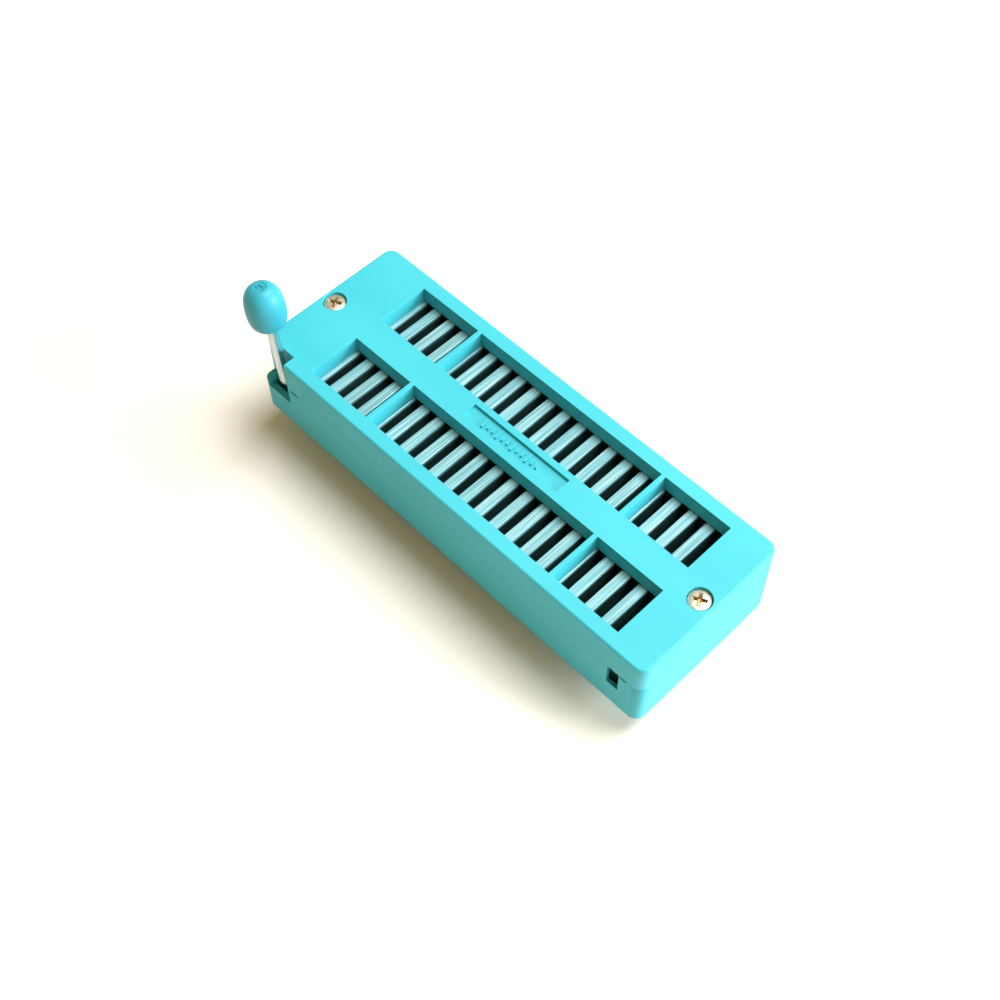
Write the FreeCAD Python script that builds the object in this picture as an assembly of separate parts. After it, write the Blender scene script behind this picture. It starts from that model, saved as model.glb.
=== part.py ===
import FreeCAD, Part
import math
import os

# A 40-position zero-insertion-force (ZIF) socket for dual-in-line chips, in millimetres.
# +X runs along the two rows of contacts, away from the lever. +Y runs from the front row, on the
# lever's side, to the back row. +Z is up. The origin is the centre of the contact field on the
# seating face, which is the underside of the base.

# ---- driving dimensions: the body ---------------------------------------------------------------
PITCH = 2.54
POSITIONS = 20
LEFT_END = -33.65
RIGHT_END = 30.98
WIDTH = 22.68
HEIGHT = 12.0
PARTING_Z = 7.5            # where the cover meets the base
CORNER_R = 1.4             # plan corners of the body
LEVER_CORNER_R = 1.0       # the plan corner of the base beside the lever
EDGE_R = 0.3               # rounded outer edges of the mouldings
WALL = 1.27                # outer walls of the base and the cover
FLOOR = 1.2                # floor of the base
PLATE = 2.1                # top plate of the cover

# ---- driving dimensions: cover ------------------------------------------------------------------
WINDOW_NEAR = 2.06         # the chip windows, measured from the centre line
WINDOW_FAR = 9.37
WINDOW_DRAFT = 0.2
RIB_TOP = 0.6              # the ribs that split each window into 4, 12 and 4 positions
RIB_AT = 6 * PITCH
LABEL = (-7.6, 8.0, -1.05, 1.2)   # the blank label recess: x0, x1, y0, y1
LABEL_DEPTH = 0.45
COVER_LEFT_BOSS_R = 1.6
RIGHT_BOSS_R = 2.2
PEG_Y = (-6.2, 6.2)        # two pegs under the cover drop into the base at the plain end
PEG_R = 0.7
PEG_POST_R = 1.5
PEG_DEPTH = 2.0
PEG_CLEARANCE = 0.05

# ---- driving dimensions: base -------------------------------------------------------------------
TROUGH_NEAR = 2.0          # the two contact troughs, measured from the centre line
TROUGH_FAR = 9.45
TROUGH_END = 25.9
PARTITION = 0.45           # low walls between neighbouring contacts
PARTITION_TOP = 5.6
TAIL_HOLE = (0.6, 0.9)     # along X and Y
BAY_FLOOR = 4.0            # the crank bay, between the lever's end wall and the slider
BAY_RIGHT = -26.3
LEFT_BOSS_R = 1.1
END_BAY_LEFT = 26.5        # the hollow at the plain end
BEARING_WALL_Y = -8.4      # inner face of the wall that carries the front end of the shaft
NOTCH_RIGHT = -28.5        # the lever notch in the front left corner
NOTCH_BACK = -9.53
NOTCH_WALL = 1.0
LEVER_TROUGH_LEFT = -32.65
LEVER_TROUGH_SILL = 4.35   # the front of the lever trough
END_WALL_TOP = 5.35        # the end wall that the closed lever passes over
SILL_WALL_Y = -10.5
SIDE_WINDOW = (26.0, 27.7)        # the small opening in the front wall: x0, x1
SIDE_WINDOW_SILL = 4.0
SIDE_WINDOW_SKIN = 0.5            # the front wall is thinned to this around the opening
SIDE_WINDOW_MARGIN = 0.5
SIDE_POCKET_FLOOR = 1.8
PRY_SLOTS = ((-27.9, -26.6), (27.85, 28.75))   # for parting the cover from the base: x0, x1
PRY_SLOT_HEIGHT = 0.3
PRY_SLOT_DEPTH = 0.6

# ---- driving dimensions: contacts ---------------------------------------------------------------
SHEET = 0.17               # thickness of the contact strip
SLOT_START = 0.675         # the open slot of each contact, measured from the left of its cell
SLOT_END = 1.865
CONTACT_TOP = 9.8
LEAF_TOP = 9.7             # the sprung leaf ends a little lower
CONTACT_NEAR = 2.2         # the contact leaves, measured from the centre line
CONTACT_FAR = 9.25
FLANGE_REACH = 0.475       # how far the folded top reaches left of its cell
FOLD_R = 0.14
WEB_R = 0.3
TAIL_ROW = 7.62            # half of the distance between the two rows of solder tails
TAIL_LENGTH = 3.3
TAIL_THICK = 0.25
TAIL_WIDE = 0.55
TAIL_TIP = 0.5

# ---- driving dimensions: slider -----------------------------------------------------------------
SLIDER_LEFT = -26.0         # the comb plate, with the socket open
SLIDER_RIGHT = 26.3
SLIDER_BOTTOM = 6.15
SLIDER_TOP = 9.4
SLIDER_TRAVEL = 0.9        # towards the lever as the socket closes
SLIDER_END_GAP = 0.2
SLIDER_END_BAR = 0.6       # the solid bar left across each end of the comb
RAIL_GAP = 0.08            # between the slider's rails and the walls they run along
COMB_NEAR = 2.1            # the slider's slots, measured from the centre line
COMB_FAR = 9.35
COMB_BOTTOM = 8.2          # the ribs are shallower than the rails, so they push near the leaf's top
PUSH_GAP = 0.05
RIB_WIDE = 0.8
YOKE_NEAR = 2.9
YOKE_FAR = 5.3
YOKE_JAW = 0.85
YOKE_ROOF = 8.1
BRIDGE_LEFT = -28.2
BRIDGE_Y = (-5.0, 6.4)

# ---- driving dimensions: lever ------------------------------------------------------------------
ROD_R = 0.68
PIVOT_X = -29.9
PIVOT_Z = 6.5
RUNNING_GAP = 0.05
ARM_Y = -10.5
ARM_LEAN = 4.8             # the arm leans this far to the left with the lever open, in degrees
KNOB_START = 10.75         # along the arm from the middle of the shaft
KNOB_LENGTH = 6.15
KNOB_TIP_R = 0.9           # the small flat at the knob's tip
KNOB_PROFILE = [(1.35, 0.0), (1.98, 0.3), (2.34, 1.0), (2.47, 2.1), (2.47, 3.3), (2.34, 4.4), (2.02, 5.3),
                (1.45, 5.95)]   # radius, distance from the knob's lower end
ARM_END = 1.6              # the rod stops this far short of the knob's tip
ELBOW_R = 1.1
SHAFT_END_Y = 8.9
CRANK_OFFSET = 0.7
CRANK_HALF_SWING = 40.0    # the crank stands this far each side of upright, in degrees
CRANK_NEAR_Y = 2.6         # the crank pin runs between these two
CRANK_FAR_Y = 5.6
CRANK_SLOPE = 1.0          # length along Y of each slanted side of the crank
CRANK_BEND_R = 1.4
FRONT_BEARING = (-9.4, -8.5)      # along Y
REAR_BEARING = (7.1, 8.5)
REAR_BEARING_HALF = 1.5
TONGUE_HALF = 0.6          # the tongues that hold the shaft down in its saddles
TONGUE_GAP = 0.07

# ---- driving dimensions: screws -----------------------------------------------------------------
SCREW_LEFT_X = -31.83
SCREW_RIGHT_X = 28.95
SCREW_HEAD_R = 1.375
SCREW_SHANK_R = 0.8
SCREW_POINT = 0.8          # the taper at the tip
SCREW_TIP_Z = 2.6
SCREW_HOLE_SPARE = 0.3     # the hole goes this much deeper than the tip
SHANK_CLEARANCE = 0.1      # in the cover
HEAD_SEAT_Z = 10.9
HEAD_CLEARANCE = 0.15
HEAD_RIM = 0.75            # height of the head's straight side, under its dome
HEAD_DOME = 0.2
DOME_FLAT = 0.45           # share of the head's radius that is flat on top
DOME_SHOULDER = (0.8, 0.65)       # a point the dome passes through: share of its radius, of its height
RECESS_TURN = 45.0         # how far the cross recess is turned from the rows, in degrees
RECESS_LENGTH = 1.6
RECESS_WIDTH = 0.42
RECESS_DEPTH = 0.55

# ---- values that follow from them ---------------------------------------------------------------
HALF_WIDTH = WIDTH / 2
FIELD_HALF = PITCH * POSITIONS / 2
INNER_Y = HALF_WIDTH - WALL
PLATE_Z = HEIGHT - PLATE
BAY_LEFT = LEFT_END + WALL
END_BAY_RIGHT = RIGHT_END - WALL
LEDGE_Z = SLIDER_BOTTOM - RUNNING_GAP
GUIDE_LEFT = SLIDER_LEFT - SLIDER_TRAVEL - SLIDER_END_GAP
RAIL_OUTER = INNER_Y - RAIL_GAP
PEG_X = SCREW_RIGHT_X - 0.2
TONGUE_Z = PIVOT_Z + ROD_R + TONGUE_GAP
CRANK_PIN_X = PIVOT_X + CRANK_OFFSET * math.sin(math.radians(CRANK_HALF_SWING))
CRANK_PIN_Z = PIVOT_Z + CRANK_OFFSET * math.cos(math.radians(CRANK_HALF_SWING))

EPS = 0.5                  # how far cutting tools run past the faces they cut
MEET = 0.05                # how far two hollows that meet run into each other
TINY = 1e-6                # two coordinates closer than this are the same
V = FreeCAD.Vector
UP = V(0, 0, 1)


# ---- helpers ------------------------------------------------------------------------------------
def box(x0, x1, y0, y1, z0, z1):
    return Part.makeBox(x1 - x0, y1 - y0, z1 - z0, V(x0, y0, z0))


def post(x, y, z0, z1, radius):
    return Part.makeCylinder(radius, z1 - z0, V(x, y, z0), UP)


def fused(shapes):
    first, rest = shapes[0], shapes[1:]
    return first.fuse(rest).removeSplitter() if rest else first


def cut_all(shape, tools):
    return shape.cut(tools).removeSplitter()


def edges_where(shape, test):
    return [edge for edge in shape.Edges if all(test(vertex.Point) for vertex in edge.Vertexes)]


def edges_along_y(shape, x, z):
    """The straight edges parallel to Y at the given x and z."""
    return edges_where(shape, lambda p: abs(p.x - x) < TINY and abs(p.z - z) < TINY)


def corner_edge(block, x, y):
    """The upright edge of a block at one of its plan corners."""
    return edges_where(block, lambda p: abs(p.x - x) < TINY and abs(p.y - y) < TINY)


def body_slab(z0, z1):
    """The outer block of the body between two heights, with rounded plan corners."""
    block = box(LEFT_END, RIGHT_END, -HALF_WIDTH, HALF_WIDTH, z0, z1)
    block = block.makeFillet(LEVER_CORNER_R, corner_edge(block, LEFT_END, -HALF_WIDTH))
    for x, y in ((LEFT_END, HALF_WIDTH), (RIGHT_END, HALF_WIDTH), (RIGHT_END, -HALF_WIDTH)):
        block = block.makeFillet(CORNER_R, corner_edge(block, x, y))
    return block


def drafted_window(x0, x1, y0, y1):
    """A window through the top plate that narrows a little on its way down."""
    wires = []
    for z, shift in ((PLATE_Z - EPS, WINDOW_DRAFT), (HEIGHT, 0.0)):
        a, b, c, d = x0 + shift, x1 - shift, y0 + shift, y1 - shift
        corners = [V(a, c, z), V(b, c, z), V(b, d, z), V(a, d, z)]
        wires.append(Part.makePolygon(corners + corners[:1]))
    return Part.makeLoft(wires, True, True)


def rounded_path(points, radii):
    """A wire along straight runs joined by tangent arcs; radii has one value per inner point."""
    edges = []
    start = points[0]
    for i, radius in enumerate(radii, start=1):
        corner = points[i]
        back = (points[i - 1] - corner).normalize()
        on = (points[i + 1] - corner).normalize()
        half_turn = (math.pi - back.getAngle(on)) / 2
        reach = radius * math.tan(half_turn)
        first = corner + back * reach
        last = corner + on * reach
        towards_centre = (back + on).normalize()
        middle = corner + towards_centre * (radius / math.cos(half_turn) - radius)
        edges.append(Part.LineSegment(start, first).toShape())
        edges.append(Part.Arc(first, middle, last).toShape())
        start = last
    edges.append(Part.LineSegment(start, points[-1]).toShape())
    return Part.Wire(edges)


def round_wire(points, radii, radius):
    """A round bar bent along a rounded path."""
    path = rounded_path(points, radii)
    along = (points[1] - points[0]).normalize()
    section = Part.Wire([Part.makeCircle(radius, points[0], along)])
    return path.makePipeShell([section], True, False)


# ---- cover --------------------------------------------------------------------------------------
def cover_windows():
    rib = RIB_TOP / 2
    bays = [(-FIELD_HALF, -RIB_AT - rib), (-RIB_AT + rib, RIB_AT - rib), (RIB_AT + rib, FIELD_HALF)]
    rows = [(-WINDOW_FAR, -WINDOW_NEAR), (WINDOW_NEAR, WINDOW_FAR)]
    return [drafted_window(x0, x1, y0, y1) for y0, y1 in rows for x0, x1 in bays]


def cover_cavity():
    """The hollow under the top plate, with the bosses and the lever corner left standing."""
    hollow = box(BAY_LEFT, END_BAY_RIGHT, -INNER_Y, INNER_Y, PARTING_Z - EPS, PLATE_Z)
    lever_corner = box(LEFT_END, NOTCH_RIGHT + NOTCH_WALL, -HALF_WIDTH, BEARING_WALL_Y, 0, HEIGHT)
    left_boss = post(SCREW_LEFT_X, 0, 0, HEIGHT, COVER_LEFT_BOSS_R)
    right_boss = post(SCREW_RIGHT_X, 0, 0, HEIGHT, RIGHT_BOSS_R)
    peg_posts = [post(PEG_X, y, 0, HEIGHT, PEG_POST_R) for y in PEG_Y]
    return hollow.cut([lever_corner, left_boss, right_boss] + peg_posts)


def bearing_tongues():
    front = box(PIVOT_X - TONGUE_HALF, PIVOT_X + TONGUE_HALF, *FRONT_BEARING, TONGUE_Z, PARTING_Z + EPS)
    rear = box(PIVOT_X - TONGUE_HALF, PIVOT_X + TONGUE_HALF, *REAR_BEARING, TONGUE_Z, PLATE_Z + EPS)
    return [front, rear]


def locating_pegs():
    return [post(PEG_X, y, PARTING_Z - PEG_DEPTH, PARTING_Z + EPS, PEG_R) for y in PEG_Y]


def make_cover():
    slab = body_slab(PARTING_Z, HEIGHT)
    top_rim = edges_where(slab, lambda p: abs(p.z - HEIGHT) < TINY)
    slab = slab.makeFillet(EDGE_R, top_rim)
    x0, x1, y0, y1 = LABEL
    tools = [cover_cavity()] + cover_windows()
    tools.append(box(x0, x1, y0, y1, HEIGHT - LABEL_DEPTH, HEIGHT + EPS))
    tools.append(box(LEFT_END - EPS, NOTCH_RIGHT, -HALF_WIDTH - EPS, NOTCH_BACK, 0, HEIGHT + EPS))
    for x in (SCREW_LEFT_X, SCREW_RIGHT_X):
        tools.append(post(x, 0, HEAD_SEAT_Z, HEIGHT + EPS, SCREW_HEAD_R + HEAD_CLEARANCE))
        tools.append(post(x, 0, PARTING_Z - EPS, HEIGHT, SCREW_SHANK_R + SHANK_CLEARANCE))
    cover = cut_all(slab, tools)
    return fused([cover] + bearing_tongues() + locating_pegs())


# ---- base ---------------------------------------------------------------------------------------
def cell_left(index):
    return -FIELD_HALF + index * PITCH


def tail_x(index):
    return cell_left(index) + PITCH / 2


def contact_troughs():
    """Both troughs, as the cutting tool, with the partitions between contacts left standing."""
    tools = []
    for side in (-1, 1):
        y0, y1 = sorted((side * TROUGH_NEAR, side * TROUGH_FAR))
        trough = box(-TROUGH_END, TROUGH_END, y0, y1, FLOOR, PARTING_Z + EPS)
        middle = SLOT_END + SHEET + (PITCH - SLOT_END + SLOT_START - 2 * SHEET) / 2
        partitions = []
        for index in range(POSITIONS - 1):
            x = cell_left(index) + middle
            partitions.append(box(x - PARTITION / 2, x + PARTITION / 2, y0, y1, 0, PARTITION_TOP))
        tools.append(trough.cut(partitions))
    return tools


def tail_holes():
    half_x, half_y = TAIL_HOLE[0] / 2, TAIL_HOLE[1] / 2
    holes = []
    for index in range(POSITIONS):
        x = tail_x(index)
        for y in (-TAIL_ROW, TAIL_ROW):
            holes.append(box(x - half_x, x + half_x, y - half_y, y + half_y, -EPS, FLOOR + EPS))
    return holes


def saddle(y0, y1):
    """The slot that a bearing's stretch of shaft is dropped into from above."""
    radius = ROD_R + RUNNING_GAP
    seat = Part.makeCylinder(radius, y1 - y0, V(PIVOT_X, y0, PIVOT_Z), V(0, 1, 0))
    mouth = box(PIVOT_X - radius, PIVOT_X + radius, y0, y1, PIVOT_Z, PARTING_Z + EPS)
    return seat.fuse(mouth)


def crank_bay():
    """The room for the crank and the slider's yoke, around the screw boss and the rear bearing."""
    bay = box(BAY_LEFT, BAY_RIGHT + EPS, BEARING_WALL_Y, INNER_Y, BAY_FLOOR, PARTING_Z + EPS)
    boss = post(SCREW_LEFT_X, 0, 0, HEIGHT, LEFT_BOSS_R)
    bearing = box(PIVOT_X - REAR_BEARING_HALF, PIVOT_X + REAR_BEARING_HALF, *REAR_BEARING, 0, HEIGHT)
    bearing = bearing.cut(saddle(REAR_BEARING[0] - EPS, REAR_BEARING[1] + EPS))
    return bay.cut([boss, bearing])


def end_bay():
    """The hollow at the plain end, with the screw boss and the two peg posts left standing."""
    bay = box(END_BAY_LEFT, END_BAY_RIGHT, -INNER_Y, INNER_Y, FLOOR, PARTING_Z + EPS)
    boss = post(SCREW_RIGHT_X, 0, 0, HEIGHT, RIGHT_BOSS_R)
    peg_posts = [post(PEG_X, y, 0, HEIGHT, PEG_POST_R) for y in PEG_Y]
    return bay.cut([boss] + peg_posts)


def lever_trough():
    """The corner that the lever's arm swings in: open above its sill, with a deep gutter behind it."""
    open_part = box(LEVER_TROUGH_LEFT, NOTCH_RIGHT, -HALF_WIDTH - EPS, NOTCH_BACK,
                    LEVER_TROUGH_SILL, PARTING_Z + EPS)
    gutter = box(LEVER_TROUGH_LEFT, NOTCH_RIGHT, SILL_WALL_Y, NOTCH_BACK, FLOOR, LEVER_TROUGH_SILL)
    over_end_wall = box(LEFT_END - EPS, LEVER_TROUGH_LEFT + EPS, -HALF_WIDTH - EPS, NOTCH_BACK,
                        END_WALL_TOP, PARTING_Z + EPS)
    return [open_part, gutter, over_end_wall]


def front_wall_openings():
    """The side window, the pocket that thins the wall around it, and the slots for prying."""
    face = -HALF_WIDTH
    top = PARTING_Z + EPS
    inside = -INNER_Y + MEET
    x0, x1 = SIDE_WINDOW
    window = box(x0, x1, face - EPS, inside, SIDE_WINDOW_SILL, top)
    pocket = box(x0 - SIDE_WINDOW_MARGIN, x1 + SIDE_WINDOW_MARGIN, face + SIDE_WINDOW_SKIN, inside,
                 SIDE_POCKET_FLOOR, top)
    slot_sill = PARTING_Z - PRY_SLOT_HEIGHT
    slots = [box(*slot, face - EPS, face + PRY_SLOT_DEPTH, slot_sill, top) for slot in PRY_SLOTS]
    return [window, pocket] + slots


def screw_and_peg_holes():
    holes = []
    for x in (SCREW_LEFT_X, SCREW_RIGHT_X):
        holes.append(post(x, 0, SCREW_TIP_Z - SCREW_HOLE_SPARE, PARTING_Z + EPS, SCREW_SHANK_R))
    for y in PEG_Y:
        bottom = PARTING_Z - PEG_DEPTH - PEG_CLEARANCE
        holes.append(post(PEG_X, y, bottom, PARTING_Z + EPS, PEG_R + PEG_CLEARANCE))
    return holes


def make_base():
    slab = body_slab(0, PARTING_Z)
    bottom_rim = edges_where(slab, lambda p: abs(p.z) < TINY)
    slab = slab.makeFillet(EDGE_R, bottom_rim)
    guide = box(GUIDE_LEFT, END_BAY_LEFT, -INNER_Y, INNER_Y, LEDGE_Z, PARTING_Z + EPS)
    tools = [guide, crank_bay(), end_bay(), saddle(NOTCH_BACK - EPS, BEARING_WALL_Y + EPS)]
    tools += contact_troughs() + tail_holes() + lever_trough()
    tools += front_wall_openings() + screw_and_peg_holes()
    return cut_all(slab, tools)


# ---- screws -------------------------------------------------------------------------------------
def screw_outline():
    """Half of the screw's section, from its tip up to the middle of the head, as points and a dome."""
    rim_z = HEAD_SEAT_Z + HEAD_RIM
    top_z = rim_z + HEAD_DOME
    flat_r = SCREW_HEAD_R * DOME_FLAT
    lower = [
        V(0, 0, SCREW_TIP_Z), V(SCREW_SHANK_R / 2, 0, SCREW_TIP_Z),
        V(SCREW_SHANK_R, 0, SCREW_TIP_Z + SCREW_POINT), V(SCREW_SHANK_R, 0, HEAD_SEAT_Z),
        V(SCREW_HEAD_R, 0, HEAD_SEAT_Z), V(SCREW_HEAD_R, 0, rim_z),
    ]
    over_dome = V(SCREW_HEAD_R * DOME_SHOULDER[0], 0, rim_z + HEAD_DOME * DOME_SHOULDER[1])
    dome = Part.Arc(lower[-1], over_dome, V(flat_r, 0, top_z)).toShape()
    upper = [V(flat_r, 0, top_z), V(0, 0, top_z), lower[0]]
    return Part.makePolygon(lower).Edges + [dome] + Part.makePolygon(upper).Edges


def make_screw(x):
    """A pan-head screw with a cross recess, turned from one outline."""
    screw = Part.Face(Part.Wire(screw_outline())).revolve(V(0, 0, 0), UP, 360)
    top_z = HEAD_SEAT_Z + HEAD_RIM + HEAD_DOME
    half, thin = RECESS_LENGTH / 2, RECESS_WIDTH / 2
    arms = [box(-half, half, -thin, thin, top_z - RECESS_DEPTH, top_z + EPS),
            box(-thin, thin, -half, half, top_z - RECESS_DEPTH, top_z + EPS)]
    screw = screw.cut(fused(arms))
    screw.rotate(V(0, 0, 0), UP, RECESS_TURN)
    screw.translate(V(x, 0, 0))
    return screw


# ---- contacts -----------------------------------------------------------------------------------
def contact_strip():
    """The folded strip of one contact: top flange, fixed leaf, web and sprung leaf."""
    fixed_left = SLOT_START - SHEET
    leaf_right = SLOT_END + SHEET
    web_top = FLOOR + SHEET
    outline = [
        (-FLANGE_REACH, CONTACT_TOP), (SLOT_START, CONTACT_TOP), (SLOT_START, web_top),
        (SLOT_END, web_top), (SLOT_END, LEAF_TOP), (leaf_right, LEAF_TOP), (leaf_right, FLOOR),
        (fixed_left, FLOOR), (fixed_left, CONTACT_TOP - SHEET), (-FLANGE_REACH, CONTACT_TOP - SHEET),
    ]
    corners = [V(u, CONTACT_NEAR, z) for u, z in outline]
    face = Part.Face(Part.makePolygon(corners + corners[:1]))
    strip = face.extrude(V(0, CONTACT_FAR - CONTACT_NEAR, 0))
    strip = strip.makeFillet(FOLD_R, edges_along_y(strip, SLOT_START, CONTACT_TOP))
    heels = edges_along_y(strip, fixed_left, FLOOR) + edges_along_y(strip, leaf_right, FLOOR)
    return strip.makeFillet(WEB_R, heels)


def contact_tail():
    """The solder tail under the web, with a bevelled tip."""
    x0 = PITCH / 2 - TAIL_THICK / 2
    x1 = x0 + TAIL_THICK
    half = TAIL_WIDE / 2
    outline = [
        V(x0, TAIL_ROW - half, FLOOR), V(x0, TAIL_ROW - half, -TAIL_LENGTH + TAIL_TIP),
        V(x0, TAIL_ROW - half / 2, -TAIL_LENGTH), V(x0, TAIL_ROW + half / 2, -TAIL_LENGTH),
        V(x0, TAIL_ROW + half, -TAIL_LENGTH + TAIL_TIP), V(x0, TAIL_ROW + half, FLOOR),
    ]
    return Part.Face(Part.makePolygon(outline + outline[:1])).extrude(V(x1 - x0, 0, 0))


def make_contacts():
    """Name and solid of each contact, front row first, numbered from the lever's end."""
    back = fused([contact_strip(), contact_tail()])
    front = back.mirror(V(0, 0, 0), V(0, 1, 0))
    contacts = []
    for row, pattern in (("front", front), ("back", back)):
        for index in range(POSITIONS):
            contact = pattern.copy()
            contact.translate(V(cell_left(index), 0, 0))
            contacts.append((f"contact_{row}_{index + 1:02d}", contact))
    return contacts


# ---- slider -------------------------------------------------------------------------------------
def slider_slots():
    """Through slots for every contact's two leaves, cut from the comb plate."""
    slots = []
    rib_left = SLOT_END + SHEET + PUSH_GAP
    slot_left = rib_left + RIB_WIDE - PITCH
    for index in range(POSITIONS):
        x0, x1 = cell_left(index) + slot_left, cell_left(index) + rib_left
        for y0, y1 in ((-COMB_FAR, -COMB_NEAR), (COMB_NEAR, COMB_FAR)):
            slots.append(box(x0, x1, y0, y1, SLIDER_BOTTOM - EPS, SLIDER_TOP + EPS))
    return slots


def slider_undercuts():
    """Relief under the ribs, so that they are only as deep as the pushing band."""
    tools = []
    for y0, y1 in ((-COMB_FAR, -COMB_NEAR), (COMB_NEAR, COMB_FAR)):
        tools.append(box(SLIDER_LEFT + SLIDER_END_BAR, SLIDER_RIGHT - SLIDER_END_BAR, y0, y1,
                         SLIDER_BOTTOM - EPS, COMB_BOTTOM))
    return tools


def yoke_slot():
    half = ROD_R + RUNNING_GAP
    return box(CRANK_PIN_X - half, CRANK_PIN_X + half, YOKE_NEAR - EPS, YOKE_FAR + EPS,
               SLIDER_BOTTOM - EPS, YOKE_ROOF)


def make_slider():
    comb = box(SLIDER_LEFT, SLIDER_RIGHT, -RAIL_OUTER, RAIL_OUTER, SLIDER_BOTTOM, SLIDER_TOP)
    bridge = box(BRIDGE_LEFT, SLIDER_LEFT + EPS, *BRIDGE_Y, SLIDER_BOTTOM, SLIDER_TOP)
    yoke_left = CRANK_PIN_X - ROD_R - RUNNING_GAP - YOKE_JAW
    yoke = box(yoke_left, SLIDER_LEFT + EPS, YOKE_NEAR, YOKE_FAR, SLIDER_BOTTOM, SLIDER_TOP)
    blank = fused([comb, bridge, yoke])
    return cut_all(blank, slider_slots() + slider_undercuts() + [yoke_slot()])


# ---- lever --------------------------------------------------------------------------------------
def on_arm(distance):
    """A point on the arm's centre line, measured from the middle of the shaft."""
    lean = math.radians(ARM_LEAN)
    return V(PIVOT_X - distance * math.sin(lean), ARM_Y, PIVOT_Z + distance * math.cos(lean))


def make_lever_rod():
    """The bent wire: the arm, the elbow and the cross shaft with its crank."""
    points = [
        on_arm(KNOB_START + KNOB_LENGTH - ARM_END),
        on_arm(0),
        V(PIVOT_X, CRANK_NEAR_Y - CRANK_SLOPE, PIVOT_Z),
        V(CRANK_PIN_X, CRANK_NEAR_Y, CRANK_PIN_Z),
        V(CRANK_PIN_X, CRANK_FAR_Y, CRANK_PIN_Z),
        V(PIVOT_X, CRANK_FAR_Y + CRANK_SLOPE, PIVOT_Z),
        V(PIVOT_X, SHAFT_END_Y, PIVOT_Z),
    ]
    radii = [ELBOW_R, CRANK_BEND_R, CRANK_BEND_R, CRANK_BEND_R, CRANK_BEND_R]
    return round_wire(points, radii, ROD_R)


def make_lever_knob():
    """The barrel-shaped knob, turned from one outline, with a blind hole for the arm."""
    side = Part.BSplineCurve()
    side.interpolate([V(r, 0, along) for r, along in KNOB_PROFILE])
    first_r, first_z = KNOB_PROFILE[0]
    last_r, last_z = KNOB_PROFILE[-1]
    tip = [V(last_r, 0, last_z), V(KNOB_TIP_R, 0, KNOB_LENGTH), V(0, 0, KNOB_LENGTH), V(0, 0, first_z),
           V(first_r, 0, first_z)]
    outline = [side.toShape()] + Part.makePolygon(tip).Edges
    knob = Part.Face(Part.Wire(outline)).revolve(V(0, 0, 0), UP, 360)
    knob = knob.cut(post(0, 0, -EPS, KNOB_LENGTH - ARM_END, ROD_R))
    knob.rotate(V(0, 0, 0), V(0, 1, 0), -ARM_LEAN)
    knob.translate(on_arm(KNOB_START))
    return knob


# ---- the whole part -----------------------------------------------------------------------------
def save(name, shape):
    """Write one sub-part, which has to be a single valid solid."""
    if len(shape.Solids) != 1 or not shape.isValid():
        raise ValueError(f"{name}: {len(shape.Solids)} solids, valid {shape.isValid()}")
    shape.Solids[0].exportStep(f"parts/{name}.step")


def main():
    os.makedirs("parts", exist_ok=True)
    save("base", make_base())
    save("cover", make_cover())
    save("slider", make_slider())
    save("lever_rod", make_lever_rod())
    save("lever_knob", make_lever_knob())
    save("cover_screw_left", make_screw(SCREW_LEFT_X))
    save("cover_screw_right", make_screw(SCREW_RIGHT_X))
    for name, contact in make_contacts():
        save(name, contact)


main()
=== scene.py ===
import math

import bmesh
import bpy
from mathutils import Matrix, Vector


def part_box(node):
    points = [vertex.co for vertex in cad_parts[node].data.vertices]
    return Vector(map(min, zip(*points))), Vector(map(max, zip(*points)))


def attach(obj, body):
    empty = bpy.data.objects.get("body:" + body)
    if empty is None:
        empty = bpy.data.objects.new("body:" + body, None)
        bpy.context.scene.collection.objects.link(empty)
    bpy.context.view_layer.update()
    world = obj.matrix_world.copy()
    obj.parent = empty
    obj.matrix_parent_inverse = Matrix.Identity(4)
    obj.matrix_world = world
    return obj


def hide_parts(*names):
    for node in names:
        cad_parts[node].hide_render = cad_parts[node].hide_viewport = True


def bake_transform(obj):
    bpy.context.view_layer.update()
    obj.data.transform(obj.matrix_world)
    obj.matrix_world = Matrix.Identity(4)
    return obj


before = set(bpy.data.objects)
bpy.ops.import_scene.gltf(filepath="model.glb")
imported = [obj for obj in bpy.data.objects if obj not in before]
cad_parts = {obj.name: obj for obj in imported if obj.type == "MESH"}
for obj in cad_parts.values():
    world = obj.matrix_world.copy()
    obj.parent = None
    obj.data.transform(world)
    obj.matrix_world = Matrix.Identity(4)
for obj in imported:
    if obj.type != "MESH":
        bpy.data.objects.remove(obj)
bpy.context.view_layer.update()

MM = 0.001

# ---- camera, light and floor --------------------------------------------------------------------
CAMERA_AIM = Vector((4.26, -6.38, 12.0)) * MM
CAMERA_AZIMUTH = math.radians(46.19)
CAMERA_ELEVATION = math.radians(56.69)
CAMERA_ROLL = math.radians(-1.02)
CAMERA_DISTANCE = 166.27 * MM
CAMERA_LENS = 52.26        # millimetres, as Blender takes it
CAMERA_CLIP = (0.005, 10.0)

KEY_FROM = Vector((0.20, 0.36, 1.0))
KEY_DISTANCE = 0.55
KEY_SIZE = 0.36
KEY_WATTS = 4.4
END_FROM = Vector((1.0, 0.62, 0.29))
END_DISTANCE = 0.5
END_SIZE = 0.22
END_WATTS = 3.8
AMBIENT_COLOUR = (1.0, 0.75, 0.34, 1.0)
AMBIENT_STRENGTH = 0.42
LIGHT_COLOUR = (1.0, 1.0, 1.0)
BACKGROUND = (1.0, 1.0, 1.0, 1.0)
FLOOR_HALF = 0.45
FLOOR_COLOUR = (0.83, 0.82, 0.79, 1.0)
FLOOR_ROUGHNESS = 0.9
FLOOR_GLOSS = 0.2

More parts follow.
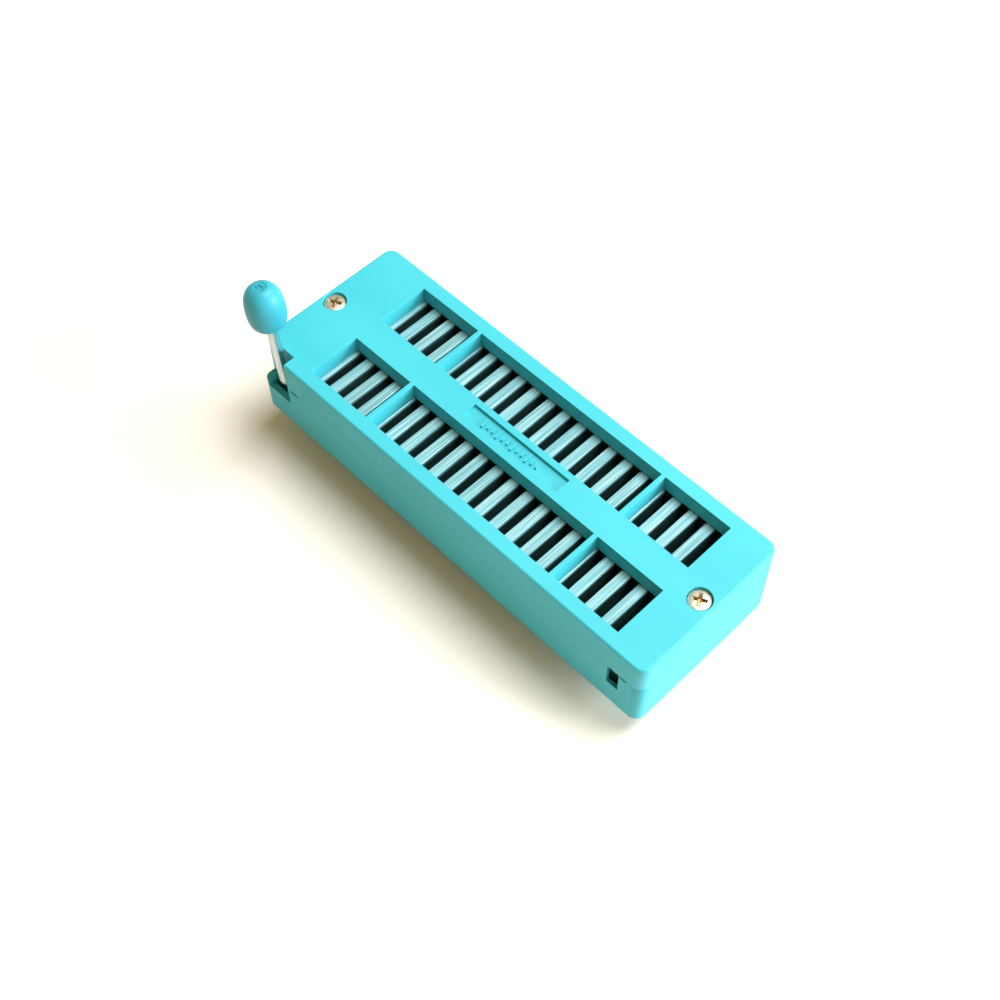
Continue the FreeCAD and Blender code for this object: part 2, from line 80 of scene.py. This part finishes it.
# ---- contacts, measured from the left of each cell ----------------------------------------------
SHEET = 0.17 * MM
FLANGE_REACH = 0.475 * MM
SLOT_START = 0.675 * MM
SLOT_END = 1.865 * MM
CONTACT_TOP = 9.8 * MM
LEAF_TOP = 9.7 * MM
WEB_BOTTOM = 1.2 * MM
FOLD_R = 0.09 * MM         # along the middle of the sheet
WEB_R = 0.215 * MM
STRIP_EDGE = 0.022 * MM    # broken edges of the stamped strip
ARC_STEPS = 6
LEAF_SPACING = 0.9 * MM    # between the extra points along a leaf's long runs
TAIL_WIDE = 0.55 * MM
TAIL_THICK = 0.25 * MM
TAIL_TIP = 0.5 * MM        # the length of the narrowed tip
TAIL_TIP_SHARE = 0.5       # of the tail's width, at its end
TAIL_ROW = 7.62 * MM
CONTACT_SHADE_FADES = [(9.2 * MM, 9.58 * MM), (1.0 * MM, 0.6 * MM)]  # painted shade darkens the leaves and web inside the body; it gives way to the plain flange and tail

# ---- lever knob, measured along the leaning arm from the middle of the cross shaft --------------
ELBOW = Vector((-29.9, -10.5, 6.5)) * MM
ARM_LEAN = math.radians(4.8)
KNOB_START = 10.75 * MM
KNOB_LENGTH = 6.15 * MM
KNOB_PROFILE = [           # radius and height in millimetres, from the knob's lower end to its tip
    (1.35, 0.0), (1.98, 0.3), (2.34, 1.0), (2.47, 2.1),
    (2.47, 3.3), (2.34, 4.4), (2.02, 5.3), (1.45, 5.95),
]
KNOB_TIP_R = 1.0 * MM
KNOB_TIP_ROUND = 0.04 * MM  # how far the tip's rim lies below the tip
DISH_R = 0.86 * MM         # the shallow dish around the moulding gate, on the knob's tip
DISH_DEPTH = 0.07 * MM
DISH_TAPER = 0.93
GATE_R = 0.42 * MM
GATE_HALF = 0.1 * MM
GATE_SWEEP = (20, 248)     # degrees
GATE_STEPS = 24
GATE_WANDER = 0.28         # how unevenly the stub curls
GATE_WAVES = 2.6
GATE_SQUASH = 0.8
GATE_ROOT = 1.5            # of the dish's depth, below the dish's rim
GATE_HEIGHT = 0.8          # of the dish's depth, above the dish's rim
SEAM_AT = 0.95             # a faint witness line round the knob, near its lower end; the three
SEAM_HALF = 0.16           # seam values are in millimetres, like the profile
SEAM_DEPTH = 0.035
KNOB_RINGS_PER_SPAN = 6
KNOB_SIDES = 72

# ---- label recess -------------------------------------------------------------------------------
TICK_COUNT = 12            # a plain row of raised ticks fills the label recess
LONG_TICK_EVERY = 3
TICK_START = Vector((-4.9, 0.1)) * MM
TICK_SPACING = 0.8 * MM
TICK_LONG = 0.62 * MM      # half lengths
TICK_SHORT = 0.36 * MM
TICK_HALF = 0.17 * MM
LABEL_FLOOR = 11.55 * MM
TICK_HEIGHT = 0.32 * MM
TICK_ROOT = 0.02 * MM      # how far the ticks reach into the recess's floor
RIDGE_TOP = 0.6            # the width of a raised bar's top, as a share of its foot

# ---- screws -------------------------------------------------------------------------------------
HEAD_R = 1.375 * MM
HEAD_SEAT = 10.9 * MM
HEAD_RIM = 0.7 * MM
HEAD_DOME = 0.25 * MM
DOME_STEPS = 10
SHANK_R = 0.72 * MM
SHANK_OVERLAP = 0.05 * MM  # how far the shank reaches into the head
POINT_LENGTH = 0.44 * MM
POINT_SHARE = 0.45         # of the shank's radius, at the tip
THREAD_DEPTH = 0.08 * MM
THREAD_PITCH = 0.6 * MM
THREAD_STEPS = 6           # rings to a turn of the thread
SCREW_SIDES = 48
RECESS_TURN = 28           # degrees
RECESS_HALF = 1.0 * MM
RECESS_THIN = 0.24 * MM
RECESS_DEPTH = 0.7 * MM
RECESS_ABOVE = 0.4 * MM    # how far the cutter stands out of the head
RECESS_FOOT = (0.42, 0.855)  # the cross's length and width at its foot, as shares of its half sizes
RECESS_MOUTH = (1.25, 1.06)  # the same where the cutter ends above the head
SCREW_SHADE_FADES = [(11.42 * MM, 11.66 * MM)]  # below this, painted shade darkens the recess, in a golden tone

# ---- edges and smoothing ------------------------------------------------------------------------
WELD_DISTANCE = 1e-7
MOULDED_EDGE = 0.09 * MM   # the broken edges of the cover and the base
MOULDED_FLAT = math.radians(0.3)    # faces that turn less than this are joined
MOULDED_SHARP = math.radians(50)    # edges that turn more than this are broken
STRIP_SHARP = math.radians(40)
SMOOTH_ANGLE = 35.0        # degrees; below this a surface looks smooth across an edge
SMOOTH_TURNED = 40.0       # the same for the knob and the screws
SMOOTH_STRIP = 50.0        # the same for the contacts


# ---- mesh helpers -------------------------------------------------------------------------------
def add_object(name, mesh):
    piece = bpy.data.objects.new(name, mesh)
    bpy.context.scene.collection.objects.link(piece)
    return piece


def finish_mesh(name, bm, smooth_angle=SMOOTH_ANGLE):
    """Turns a bmesh into an object whose faces are smooth apart from its sharp edges."""
    bmesh.ops.remove_doubles(bm, verts=bm.verts, dist=WELD_DISTANCE)
    bmesh.ops.recalc_face_normals(bm, faces=bm.faces)
    limit = math.radians(smooth_angle)
    for face in bm.faces:
        face.smooth = True
    for edge in bm.edges:
        edge.smooth = len(edge.link_faces) == 2 and edge.calc_face_angle() < limit
    mesh = bpy.data.meshes.new(name)
    bm.to_mesh(mesh)
    bm.free()
    return add_object(name, mesh)


def dress(piece, body, slot, material, *nodes):
    """Gives a piece its material, hangs it under its body's empty and hides the nodes it stands in for; the
    slot is not used.
    """
    piece.data.materials.clear()
    piece.data.materials.append(material)
    if body:
        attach(piece, body)
    if nodes:
        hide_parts(*nodes)
    return piece


def bevel_sharp_edges(bm, width, segments):
    sharp = [e for e in bm.edges if len(e.link_faces) == 2 and e.calc_face_angle() > STRIP_SHARP]
    bmesh.ops.bevel(bm, geom=sharp, offset=width, segments=segments, profile=0.5,
                    affect="EDGES", clamp_overlap=True)


def around(radius, turn, height):
    return Vector((radius * math.cos(turn), radius * math.sin(turn), height))


def turned(bm, outline, sides, centre):
    """Adds a closed solid turned from (radius, height) pairs, which start and end on the axis."""
    rings = []
    for radius, height in outline:
        if radius < 1e-9:
            rings.append([bm.verts.new(centre + Vector((0, 0, height)))])
            continue
        ring = []
        for i in range(sides):
            ring.append(bm.verts.new(centre + around(radius, math.tau * i / sides, height)))
        rings.append(ring)
    for low, high in zip(rings, rings[1:]):
        for i in range(sides):
            j = (i + 1) % sides
            if len(low) == 1:
                bm.faces.new((low[0], high[j], high[i]))
            elif len(high) == 1:
                bm.faces.new((low[i], low[j], high[0]))
            else:
                bm.faces.new((low[i], low[j], high[j], high[i]))


def ridge(bm, path, half, low, high):
    """Adds a raised bar along a flat path, a little narrower on top."""
    rings = []
    for i, point in enumerate(path):
        ahead = (path[min(i + 1, len(path) - 1)] - path[max(i - 1, 0)]).normalized()
        side = Vector((-ahead.y, ahead.x)) * half
        ring = []
        for offset, z in ((-side, low), (-side * RIDGE_TOP, high), (side * RIDGE_TOP, high), (side, low)):
            ring.append(bm.verts.new((point.x + offset.x, point.y + offset.y, z)))
        rings.append(ring)
    for a, b in zip(rings, rings[1:]):
        for k in range(4):
            bm.faces.new((a[k], a[(k + 1) % 4], b[(k + 1) % 4], b[k]))
    bm.faces.new(rings[0])
    bm.faces.new(rings[-1])


def smooth_through(points, steps):
    """Points on a smooth curve through the given pairs."""
    ends = [(2 * points[0][0] - points[1][0], 2 * points[0][1] - points[1][1]),
            (2 * points[-1][0] - points[-2][0], 2 * points[-1][1] - points[-2][1])]
    padded = [ends[0]] + points + [ends[1]]
    curve = []
    for a, b, c, d in zip(padded, padded[1:], padded[2:], padded[3:]):
        for k in range(steps):
            t = k / steps
            curve.append(tuple(0.5 * (2 * q + (r - p) * t + (2 * p - 5 * q + 4 * r - s) * t * t
                                      + (3 * q - p - 3 * r + s) * t * t * t)
                               for p, q, r, s in zip(a, b, c, d)))
    return curve + [points[-1]]


def rounded_corners(points, radii, steps):
    """A flat path with an arc at each inner point."""
    path = [points[0]]
    for i, radius in enumerate(radii, start=1):
        corner = points[i]
        back = (points[i - 1] - corner).normalized()
        on = (points[i + 1] - corner).normalized()
        turn = math.pi - back.angle(on)
        reach = radius * math.tan(turn / 2)
        centre = corner + (back + on).normalized() * radius / math.cos(turn / 2)
        spoke = corner + back * reach - centre
        way = math.copysign(turn, -back.cross(on))
        for k in range(steps + 1):
            path.append(centre + Matrix.Rotation(way * k / steps, 2) @ spoke)
    return path + [points[-1]]


# ---- materials ----------------------------------------------------------------------------------
NOISE_RANGE = (0.3, 0.7)   # most of the noise lies between these


class Shader:
    """A material with its nodes within reach."""

    def __init__(self, name):
        self.material = bpy.data.materials.new(name)
        self.material.use_nodes = True
        self.nodes = self.material.node_tree.nodes
        self.links = self.material.node_tree.links
        self.surface = self.nodes["Principled BSDF"]
        self.place = self.nodes.new("ShaderNodeTexCoord").outputs["Object"]

    def stretched(self, scale):
        mapping = self.nodes.new("ShaderNodeMapping")
        mapping.inputs["Scale"].default_value = scale
        self.links.new(self.place, mapping.inputs["Vector"])
        return mapping.outputs["Vector"]

    def noise(self, size, detail=3.0, place=None):
        """Smooth noise from 0 to 1 whose features are about size across, in metres."""
        node = self.nodes.new("ShaderNodeTexNoise")
        node.inputs["Scale"].default_value = 1 / size
        node.inputs["Detail"].default_value = detail
        self.links.new(place or self.place, node.inputs["Vector"])
        return node.outputs["Fac"]

    def between(self, value, low, high):
        """A number that follows the noise from low to high."""
        node = self.nodes.new("ShaderNodeMapRange")
        node.inputs["From Min"].default_value = NOISE_RANGE[0]
        node.inputs["From Max"].default_value = NOISE_RANGE[1]
        node.inputs["To Min"].default_value = low
        node.inputs["To Max"].default_value = high
        self.links.new(value, node.inputs["Value"])
        return node.outputs["Result"]

    def colours(self, value, *stops):
        """A colour that follows the noise through the given stops."""
        node = self.nodes.new("ShaderNodeValToRGB")
        elements = node.color_ramp.elements
        while len(elements) < len(stops):
            elements.new(0.5)
        start, end = NOISE_RANGE
        for i, colour in enumerate(stops):
            elements[i].position = start + (end - start) * i / (len(stops) - 1)
            elements[i].color = (*colour, 1.0)
        self.links.new(value, node.inputs["Fac"])
        return node.outputs["Color"]

    def height_between(self, start, end):
        """From 0 at the first height to 1 at the second one."""
        axes = self.nodes.new("ShaderNodeSeparateXYZ")
        self.links.new(self.place, axes.inputs["Vector"])
        node = self.nodes.new("ShaderNodeMapRange")
        node.inputs["From Min"].default_value = start
        node.inputs["From Max"].default_value = end
        self.links.new(axes.outputs["Z"], node.inputs["Value"])
        return node.outputs["Result"]

    def height_past(self, fades):
        """1 past the end of any of the fades, which are pairs of heights, and 0 before them all."""
        share = self.height_between(*fades[0])
        for fade in fades[1:]:
            node = self.nodes.new("ShaderNodeMath")
            node.operation = "MAXIMUM"
            self.links.new(share, node.inputs[0])
            self.links.new(self.height_between(*fade), node.inputs[1])
            share = node.outputs["Value"]
        return share

    def mixed(self, share, first, second):
        node = self.nodes.new("ShaderNodeMix")
        node.data_type = "RGBA"
        self.links.new(share, node.inputs["Factor"])
        self.links.new(first, node.inputs["A"])
        self.links.new(second, node.inputs["B"])
        return node.outputs["Result"]

    def bump(self, height, depth, under=None):
        node = self.nodes.new("ShaderNodeBump")
        node.inputs["Distance"].default_value = depth
        self.links.new(height, node.inputs["Height"])
        if under:
            self.links.new(under, node.inputs["Normal"])
        return node.outputs["Normal"]

    def set(self, **values):
        for name, value in values.items():
            self.surface.inputs[name.replace("_", " ")].default_value = value

    def link(self, **outputs):
        for name, output in outputs.items():
            self.links.new(output, self.surface.inputs[name.replace("_", " ")])


FLOW_SIZE = 9 * MM
FLOW_STRETCH = (0.35, 1.0, 1.0)
GRAIN_SIZE = 0.12 * MM
GRAIN_DEPTH = 0.002 * MM
PEEL_SIZE = 0.9 * MM
PEEL_DEPTH = 0.006 * MM
PEEL_SPREAD = (0.05, 0.06)   # how far the roughness wanders below and above its value
PLASTIC_IOR = 1.52
PLASTIC_GLOSS = 0.3


def moulded_plastic(name, deep, plain, pale, roughness):
    """Glossy moulded thermoplastic: faint flow marks, fine grain and a soft orange-peel skin."""
    s = Shader(name)
    flow = s.noise(FLOW_SIZE, 2.0, s.stretched(FLOW_STRETCH))
    grain = s.noise(GRAIN_SIZE, 2.0)
    peel = s.noise(PEEL_SIZE, 3.0)
    s.link(Base_Color=s.colours(flow, deep, plain, pale),
           Roughness=s.between(peel, roughness - PEEL_SPREAD[0], roughness + PEEL_SPREAD[1]),
           Normal=s.bump(grain, GRAIN_DEPTH, s.bump(peel, PEEL_DEPTH)))
    s.set(IOR=PLASTIC_IOR, Specular_IOR_Level=PLASTIC_GLOSS)
    return s.material


STREAK_SIZE = 0.1 * MM
STREAK_SPREAD = (0.07, 0.08)


def plated_metal(name, bright, roughness, streaks, metallic, painted_shade=None, fades=None):
    """Plated metal with drawn or rolled streaks.

    The streaks are their direction's stretch, the width of their patches and their depth. The second
    set of colours is painted shade for metal that lies in hollows. Each of the fades is a pair of
    heights, between which that painted shade gives way to the bright colours.
    """
    stretch, patch, depth = streaks
    s = Shader(name)
    lines = s.noise(STREAK_SIZE, 3.0, s.stretched(stretch))
    patches = s.noise(patch, 3.0, s.stretched(stretch))
    colour = s.colours(patches, *bright)
    # below the fades' heights the second set of colours paints shade on the metal in hollows
    if painted_shade:
        colour = s.mixed(s.height_past(fades), s.colours(patches, *painted_shade), colour)
    s.link(Base_Color=colour,
           Roughness=s.between(lines, roughness - STREAK_SPREAD[0], roughness + STREAK_SPREAD[1]),
           Normal=s.bump(lines, depth))
    s.set(Metallic=metallic)
    return s.material


def make_materials():
    teal = moulded_plastic("housing_teal", (0.037, 0.415, 0.515), (0.043, 0.436, 0.540),
                           (0.050, 0.455, 0.560), 0.52)
    knob = moulded_plastic("knob_teal", (0.026, 0.300, 0.405), (0.031, 0.325, 0.435),
                           (0.038, 0.350, 0.462), 0.44)
    # near-black, chosen so that the slots look dark: this colour paints shade into the slots, as the
    # slider's own colour is not known
    comb = moulded_plastic("comb_black", (0.010, 0.014, 0.015), (0.014, 0.019, 0.020),
                           (0.020, 0.026, 0.027), 0.50)
    steel = plated_metal("lever_nickel", ((0.44, 0.50, 0.50), (0.54, 0.60, 0.60), (0.64, 0.70, 0.69)), 0.22,
                         ((1.0, 1.0, 0.12), 0.6 * MM, 0.002 * MM), 1.0)
    # the screw's second colours are painted shade inside the cross recess
    screw = plated_metal("screw_nickel", ((0.46, 0.41, 0.30), (0.58, 0.55, 0.46), (0.67, 0.66, 0.60)), 0.40,
                         ((1.0, 1.0, 1.0), 0.35 * MM, 0.006 * MM), 0.75,
                         ((0.16, 0.10, 0.03), (0.40, 0.28, 0.10), (0.62, 0.48, 0.22)), SCREW_SHADE_FADES)
    # contact colours: tin with a painted teal reflection of the housing; the second colours are painted
    # shade on the leaves and web down in the slots
    tin = plated_metal("contact_tin_painted_light", ((0.10, 0.31, 0.36), (0.19, 0.43, 0.49), (0.37, 0.60, 0.66)), 0.52,
                       ((1.0, 0.02, 1.0), 0.20 * MM, 0.004 * MM), 0.25,
                       ((0.007, 0.032, 0.032), (0.014, 0.056, 0.055), (0.032, 0.100, 0.098)), CONTACT_SHADE_FADES)
    return {"housing_plastic": teal, "knob_plastic": knob, "slider_plastic": comb,
            "lever_steel": steel, "screw_metal": screw, "contact_metal": tin}


# ---- carried-over nodes -------------------------------------------------------------------------
def soften(node):
    """Breaks the sharp edges of a moulding, so that its rims catch the light."""
    weld = node.modifiers.new("weld", "WELD")
    weld.merge_threshold = WELD_DISTANCE
    flat = node.modifiers.new("flat", "DECIMATE")
    flat.decimate_type = "DISSOLVE"
    flat.angle_limit = MOULDED_FLAT
    edges = node.modifiers.new("edges", "BEVEL")
    edges.width = MOULDED_EDGE
    edges.segments = 2
    edges.limit_method = "ANGLE"
    edges.angle_limit = MOULDED_SHARP
    edges.harden_normals = True


def dress_cad_nodes(materials):
    for name, slot in (("base", "housing_plastic"), ("cover", "housing_plastic"),
                       ("slider", "slider_plastic"), ("lever_rod", "lever_steel")):
        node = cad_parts[name]
        node.data.materials.clear()
        node.data.materials.append(materials[slot])
    for name in ("base", "cover"):
        soften(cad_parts[name])


# ---- contacts -----------------------------------------------------------------------------------
def strip_path():
    """The middle of the folded sheet, seen along Y: flange, fixed leaf, web and sprung leaf."""
    half = SHEET / 2
    corners = [
        Vector((-FLANGE_REACH, CONTACT_TOP - half)),
        Vector((SLOT_START - half, CONTACT_TOP - half)),
        Vector((SLOT_START - half, WEB_BOTTOM + half)),
        Vector((SLOT_END + half, WEB_BOTTOM + half)),
        Vector((SLOT_END + half, LEAF_TOP)),
    ]
    return rounded_corners(corners, [FOLD_R, WEB_R, WEB_R], ARC_STEPS)


def along_leaf(path, spacing):
    """The path with extra points on its long runs."""
    fine = [path[0]]
    for a, b in zip(path, path[1:]):
        pieces = max(1, round((b - a).length / spacing))
        fine += [a.lerp(b, k / pieces) for k in range(1, pieces + 1)]
    return fine


def contact_strip(bm, cell_left, near, far):
    path = along_leaf(strip_path(), LEAF_SPACING)
    rows = []
    for i, point in enumerate(path):
        ahead = path[min(i + 1, len(path) - 1)] - path[max(i - 1, 0)]
        side = Vector((-ahead.y, ahead.x)).normalized() * SHEET / 2
        corners = []
        for offset, y in ((side, near), (side, far), (-side, far), (-side, near)):
            u, z = point + offset
            corners.append(bm.verts.new((cell_left + u, y, z)))
        rows.append(corners)
    for a, b in zip(rows, rows[1:]):
        for k in range(4):
            bm.faces.new((a[k], a[(k + 1) % 4], b[(k + 1) % 4], b[k]))
    bm.faces.new(rows[0])
    bm.faces.new(rows[-1])


def contact_tail(bm, x, y, tip):
    """A solder tail with a narrowed tip."""
    rings = []
    for z, share in ((WEB_BOTTOM + SHEET / 2, 1.0), (tip + TAIL_TIP, 1.0), (tip, TAIL_TIP_SHARE)):
        a, b = TAIL_THICK / 2 * share, TAIL_WIDE / 2 * share
        corners = ((x - a, y - b, z), (x + a, y - b, z), (x + a, y + b, z), (x - a, y + b, z))
        rings.append([bm.verts.new(corner) for corner in corners])
    for low, high in zip(rings, rings[1:]):
        for k in range(4):
            bm.faces.new((low[k], low[(k + 1) % 4], high[(k + 1) % 4], high[k]))
    bm.faces.new(rings[0])
    bm.faces.new(rings[-1])


def make_contact(node, material):
    low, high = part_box(node)
    cell_left = low.x + FLANGE_REACH
    side = 1 if low.y > 0 else -1
    bm = bmesh.new()
    contact_strip(bm, cell_left, low.y, high.y)
    contact_tail(bm, cell_left + (SLOT_START + SLOT_END) / 2, side * TAIL_ROW, low.z)
    bmesh.ops.recalc_face_normals(bm, faces=bm.faces)
    bevel_sharp_edges(bm, STRIP_EDGE, 2)
    piece = finish_mesh(node.replace("contact", "sprung_contact"), bm, SMOOTH_STRIP)
    flats = piece.modifiers.new("flats", "WEIGHTED_NORMAL")
    flats.keep_sharp = True
    dress(piece, None, "contact_metal", material, node)
    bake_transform(piece)
    return piece


# ---- lever knob ---------------------------------------------------------------------------------
def knob_outline():
    """Radius and height pairs from the knob's lower end to the dish on its tip."""
    outline = []
    for radius, along in smooth_through(KNOB_PROFILE, KNOB_RINGS_PER_SPAN):
        seam = max(0.0, 1 - abs(along - SEAM_AT) / SEAM_HALF) * SEAM_DEPTH
        outline.append(((radius - seam) * MM, along * MM))
    outline += [(KNOB_TIP_R, KNOB_LENGTH - KNOB_TIP_ROUND), (DISH_R, KNOB_LENGTH),
                (DISH_R * DISH_TAPER, KNOB_LENGTH - DISH_DEPTH)]
    return [(0.0, 0.0)] + outline + [(0.0, KNOB_LENGTH - DISH_DEPTH)]


def gate_mark(bm):
    """The torn stub that the moulding gate leaves in the dish."""
    path = []
    start, end = GATE_SWEEP
    for k in range(GATE_STEPS + 1):
        turn = math.radians(start + (end - start) * k / GATE_STEPS)
        wander = GATE_R * (1 + GATE_WANDER * math.sin(GATE_WAVES * turn))
        path.append(Vector((wander * math.cos(turn), GATE_SQUASH * wander * math.sin(turn))))
    ridge(bm, path, GATE_HALF,
          KNOB_LENGTH - DISH_DEPTH * GATE_ROOT, KNOB_LENGTH + DISH_DEPTH * GATE_HEIGHT)


def make_knob(material):
    bm = bmesh.new()
    turned(bm, knob_outline(), KNOB_SIDES, Vector())
    gate_mark(bm)
    lean = Matrix.Rotation(-ARM_LEAN, 4, "Y")
    bm.transform(Matrix.Translation(ELBOW) @ lean @ Matrix.Translation((0, 0, KNOB_START)))
    knob = finish_mesh("lever_handle", bm, SMOOTH_TURNED)
    return dress(knob, "lever", "knob_plastic", material, "lever_knob")


# ---- label recess -------------------------------------------------------------------------------
def make_label_ticks(material):
    bm = bmesh.new()
    for i in range(TICK_COUNT):
        middle = TICK_START + Vector((i * TICK_SPACING, 0))
        reach = Vector((0, TICK_LONG if i % LONG_TICK_EVERY == 0 else TICK_SHORT))
        ridge(bm, [middle - reach, middle + reach], TICK_HALF,
              LABEL_FLOOR - TICK_ROOT, LABEL_FLOOR + TICK_HEIGHT)
    ticks = finish_mesh("label_ticks", bm)
    return dress(ticks, "housing", "housing_plastic", material)


# ---- screws -------------------------------------------------------------------------------------
def screw_head(bm, centre):
    dome = [(HEAD_R, HEAD_SEAT), (HEAD_R, HEAD_SEAT + HEAD_RIM)]
    for k in range(1, DOME_STEPS + 1):
        turn = math.pi / 2 * k / DOME_STEPS
        dome.append((HEAD_R * math.cos(turn), HEAD_SEAT + HEAD_RIM + HEAD_DOME * math.sin(turn)))
    turned(bm, [(0.0, HEAD_SEAT)] + dome, SCREW_SIDES, centre)


def threaded_shank(bm, centre, bottom):
    """A helical thread under the head, ending in a blunt point."""
    rings = []
    step = THREAD_PITCH / THREAD_STEPS
    count = int((HEAD_SEAT + SHANK_OVERLAP - bottom) / step)
    for j in range(count + 1):
        z = bottom + j * step
        point = min(1.0, POINT_SHARE + (1 - POINT_SHARE) * (z - bottom) / POINT_LENGTH)
        ring = []
        for i in range(SCREW_SIDES // 2):
            turn = math.tau * i / (SCREW_SIDES // 2)
            phase = (z / THREAD_PITCH - turn / math.tau) % 1.0
            radius = (SHANK_R + THREAD_DEPTH * (1 - abs(2 * phase - 1) * 2)) * point
            ring.append(bm.verts.new(centre + around(radius, turn, z)))
        rings.append(ring)
    for a, b in zip(rings, rings[1:]):
        for i in range(len(a)):
            j = (i + 1) % len(a)
            bm.faces.new((a[i], a[j], b[j], b[i]))
    bm.faces.new(rings[0])
    bm.faces.new(rings[-1])


def cross_cutter(centre, top):
    """The tapered cross that is driven into a screw's head."""
    bm = bmesh.new()
    for turn in (RECESS_TURN, RECESS_TURN + 90):
        spin = Matrix.Rotation(math.radians(turn), 3, "Z")
        rings = []
        for z, (length, width) in ((top - RECESS_DEPTH, RECESS_FOOT), (top + RECESS_ABOVE, RECESS_MOUTH)):
            a, b = RECESS_HALF * length, RECESS_THIN * width
            corners = [centre + spin @ Vector((x, y, z)) for x, y in ((-a, -b), (a, -b), (a, b), (-a, b))]
            rings.append([bm.verts.new(corner) for corner in corners])
        for k in range(4):
            bm.faces.new((rings[0][k], rings[0][(k + 1) % 4], rings[1][(k + 1) % 4], rings[1][k]))
        bm.faces.new(rings[0])
        bm.faces.new(rings[1])
    bmesh.ops.recalc_face_normals(bm, faces=bm.faces)
    mesh = bpy.data.meshes.new("cutter")
    bm.to_mesh(mesh)
    bm.free()
    return add_object("cutter", mesh)


def cut(piece, cutter):
    """Takes the cutter's shape out of the piece, and removes the cutter."""
    modifier = piece.modifiers.new("cut", "BOOLEAN")
    modifier.operation = "DIFFERENCE"
    modifier.solver = "EXACT"
    modifier.use_self = True
    modifier.object = cutter
    evaluated = piece.evaluated_get(bpy.context.evaluated_depsgraph_get())
    mesh = bpy.data.meshes.new_from_object(evaluated)
    piece.modifiers.clear()
    piece.data = mesh
    bpy.data.objects.remove(cutter)


def make_screw(node, material):
    low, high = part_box(node)
    centre = Vector(((low.x + high.x) / 2, (low.y + high.y) / 2, 0))
    bm = bmesh.new()
    screw_head(bm, centre)
    head = finish_mesh(node.replace("cover_screw", "domed_screw"), bm, SMOOTH_TURNED)
    cut(head, cross_cutter(centre, HEAD_SEAT + HEAD_RIM + HEAD_DOME))
    bm = bmesh.new()
    bm.from_mesh(head.data)
    threaded_shank(bm, centre, low.z)
    bm.to_mesh(head.data)
    bm.free()
    return dress(head, "housing", "screw_metal", material, node)


# ---- stage --------------------------------------------------------------------------------------
def make_camera():
    azimuth, elevation = CAMERA_AZIMUTH, CAMERA_ELEVATION
    back = Vector((math.sin(azimuth) * math.cos(elevation), -math.cos(azimuth) * math.cos(elevation),
                   math.sin(elevation)))
    data = bpy.data.cameras.new("camera")
    data.lens = CAMERA_LENS
    data.clip_start, data.clip_end = CAMERA_CLIP
    camera = add_object("camera", data)
    turn = (-back).to_track_quat("-Z", "Y").to_matrix() @ Matrix.Rotation(CAMERA_ROLL, 3, "Z")
    camera.matrix_world = Matrix.Translation(CAMERA_AIM + back * CAMERA_DISTANCE) @ turn.to_4x4()
    bpy.context.scene.camera = camera


def soft_light(name, direction, distance, size, watts):
    data = bpy.data.lights.new(name, "AREA")
    data.shape = "DISK"
    data.size = size
    data.energy = watts
    data.color = LIGHT_COLOUR
    lamp = add_object(name, data)
    towards = direction.normalized()
    lamp.location = towards * distance
    lamp.rotation_euler = towards.to_track_quat("Z", "Y").to_euler()


def make_world():
    """Warm, even room light; the camera itself sees plain white beyond the floor."""
    world = bpy.data.worlds.new("room")
    bpy.context.scene.world = world
    world.use_nodes = True
    nodes, links = world.node_tree.nodes, world.node_tree.links
    room = nodes["Background"]
    room.inputs["Color"].default_value = AMBIENT_COLOUR
    room.inputs["Strength"].default_value = AMBIENT_STRENGTH
    white = nodes.new("ShaderNodeBackground")
    white.inputs["Color"].default_value = BACKGROUND
    mix = nodes.new("ShaderNodeMixShader")
    rays = nodes.new("ShaderNodeLightPath")
    links.new(rays.outputs["Is Camera Ray"], mix.inputs["Fac"])
    links.new(room.outputs["Background"], mix.inputs[1])
    links.new(white.outputs["Background"], mix.inputs[2])
    links.new(mix.outputs["Shader"], nodes["World Output"].inputs["Surface"])


def make_floor(height):
    bm = bmesh.new()
    bmesh.ops.create_grid(bm, x_segments=1, y_segments=1, size=FLOOR_HALF)
    floor = finish_mesh("floor", bm)
    floor.location.z = height
    paper = bpy.data.materials.new("white_card")
    paper.use_nodes = True
    surface = paper.node_tree.nodes["Principled BSDF"]
    surface.inputs["Base Color"].default_value = FLOOR_COLOUR
    surface.inputs["Roughness"].default_value = FLOOR_ROUGHNESS
    surface.inputs["Specular IOR Level"].default_value = FLOOR_GLOSS
    floor.data.materials.append(paper)


def make_stage():
    make_camera()
    make_world()
    soft_light("key", KEY_FROM, KEY_DISTANCE, KEY_SIZE, KEY_WATTS)
    soft_light("end_light", END_FROM, END_DISTANCE, END_SIZE, END_WATTS)
    make_floor(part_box("contact_back_01")[0].z)
    bpy.context.scene.view_settings.view_transform = "Standard"


# ---- the whole scene ----------------------------------------------------------------------------
def main():
    materials = make_materials()
    dress_cad_nodes(materials)
    for name in sorted(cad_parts):
        if name.startswith("contact_"):
            make_contact(name, materials["contact_metal"])
        if name.startswith("cover_screw"):
            make_screw(name, materials["screw_metal"])
    make_knob(materials["knob_plastic"])
    make_label_ticks(materials["housing_plastic"])
    make_stage()


main()
